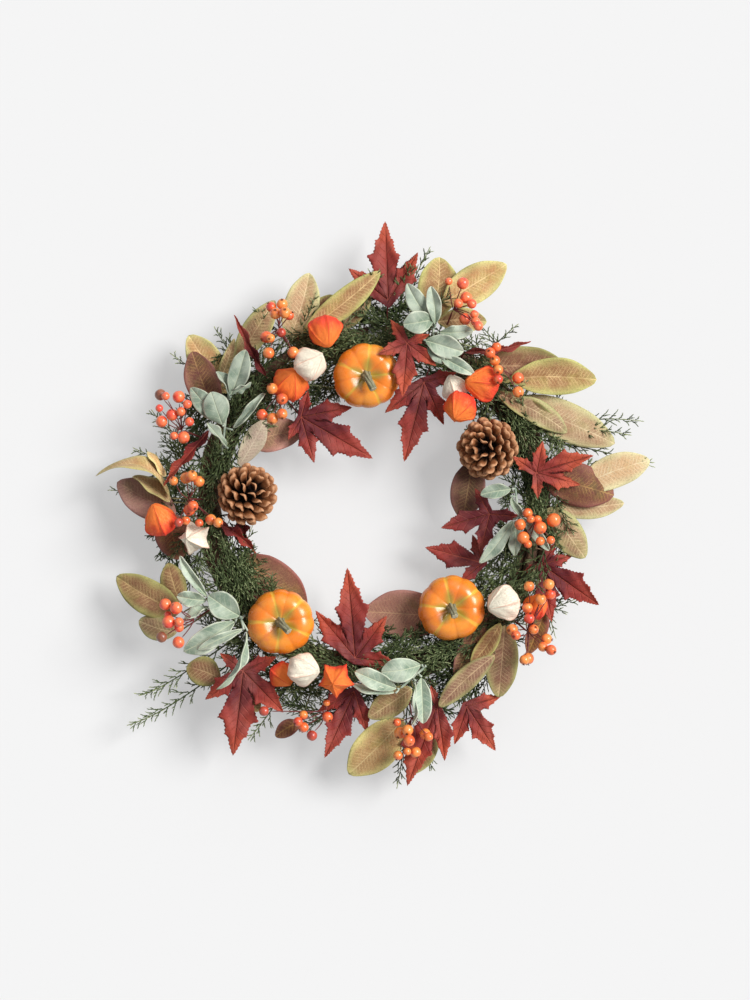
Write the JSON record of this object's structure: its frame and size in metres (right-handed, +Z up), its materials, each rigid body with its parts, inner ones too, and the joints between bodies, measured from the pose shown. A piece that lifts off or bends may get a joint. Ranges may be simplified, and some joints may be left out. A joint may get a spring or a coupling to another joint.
{
  "type": "door wreath",
  "caption": "Round autumn door wreath of leaves, cedar, small pumpkins, pine cones, paper lantern pods and berries on a vine hoop, with a wire hanging loop.",
  "frame": {"origin": "centre of the hanging loop's eye, where it sits on a door hook", "axes": "+Z up, front of the wreath towards -Y, door behind it towards +Y, +X to the right as it is looked at"},
  "size_m": [0.5591, 0.0938, 0.569],
  "materials": {
    "vine": "matt, knobby bark",
    "tie_wire": "dull brown florist's wire",
    "strap_steel": "satin",
    "bright_wire": "satin",
    "gourd_skin": "glossy mottled orange with yellow grooves",
    "gourd_stem": "matt grey-green",
    "cone_scale": "matt woody scales with pale rims",
    "lantern_orange": "satin veined paper",
    "lantern_cream": "satin veined paper",
    "magnolia_leaf": "printed cloth with fine veins",
    "maple_leaf": "printed cloth, burgundy to rust",
    "lambs_ear_leaf": "flocked, pale green",
    "cedar_needle": "matt moulded needles",
    "berry_skin": "glossy orange-red"
  },
  "bodies": {
    "wreath": {"berries_bottom": "berry_skin", "berries_bottom_left": "berry_skin", "berries_bottom_right": "berry_skin", "berries_inner_left": "berry_skin", "berries_left": "berry_skin", "berries_lower_left": "berry_skin", "berries_lower_right": "berry_skin", "berries_right": "berry_skin", "berries_top_left": "berry_skin", "berries_top_right": "berry_skin", "berries_upper_left": "berry_skin", "cedar_bottom": "cedar_needle", "cedar_left": "cedar_needle", "cedar_right": "cedar_needle", "cedar_top": "cedar_needle", "hanger_strap": "strap_steel", "lambs_ear_bottom": "lambs_ear_leaf", "lambs_ear_lower_left": "lambs_ear_leaf", "lambs_ear_right": "lambs_ear_leaf", "lambs_ear_top": "lambs_ear_leaf", "lambs_ear_upper_left": "lambs_ear_leaf", "lantern_cream_1": "lantern_cream", "lantern_cream_2": "lantern_cream", "lantern_cream_3": "lantern_cream", "lantern_cream_4": "lantern_cream", "lantern_cream_5": "lantern_cream", "lantern_orange_1": "lantern_orange", "lantern_orange_2": "lantern_orange", "lantern_orange_3": "lantern_orange", "lantern_orange_4": "lantern_orange", "lantern_orange_5": "lantern_orange", "lantern_orange_6": "lantern_orange", "lantern_orange_7": "lantern_orange", "lantern_orange_8": "lantern_orange", "magnolia_bottom": "magnolia_leaf", "magnolia_left": "magnolia_leaf", "magnolia_lower_right": "magnolia_leaf", "magnolia_right": "magnolia_leaf", "magnolia_top": "magnolia_leaf", "magnolia_top_left": "magnolia_leaf", "maple_bottom": "maple_leaf", "maple_left": "maple_leaf", "maple_lower_left": "maple_leaf", "maple_right": "maple_leaf", "maple_top": "maple_leaf", "pick_wires": "bright_wire", "pine_cone_left": "cone_scale", "pine_cone_right": "cone_scale", "pumpkin_lower_left": "gourd_skin", "pumpkin_lower_right": "gourd_skin", "pumpkin_stem_lower_left": "gourd_stem", "pumpkin_stem_lower_right": "gourd_stem", "pumpkin_stem_top": "gourd_stem", "pumpkin_top": "gourd_skin", "tie_wires": "tie_wire", "vine_cane_1": "vine", "vine_cane_2": "vine", "vine_cane_3": "vine", "vine_cane_4": "vine"},
    "hanging_loop": {"hanging_loop": "bright_wire"}
  },
  "joints": [
    {"name": "hanging_loop_swing", "type": "hinge", "parent": "wreath", "child": "hanging_loop", "pos_m": [0, 0, -0.024], "axis": [1, 0, 0], "range_deg": [-90, 15]}
  ]
}
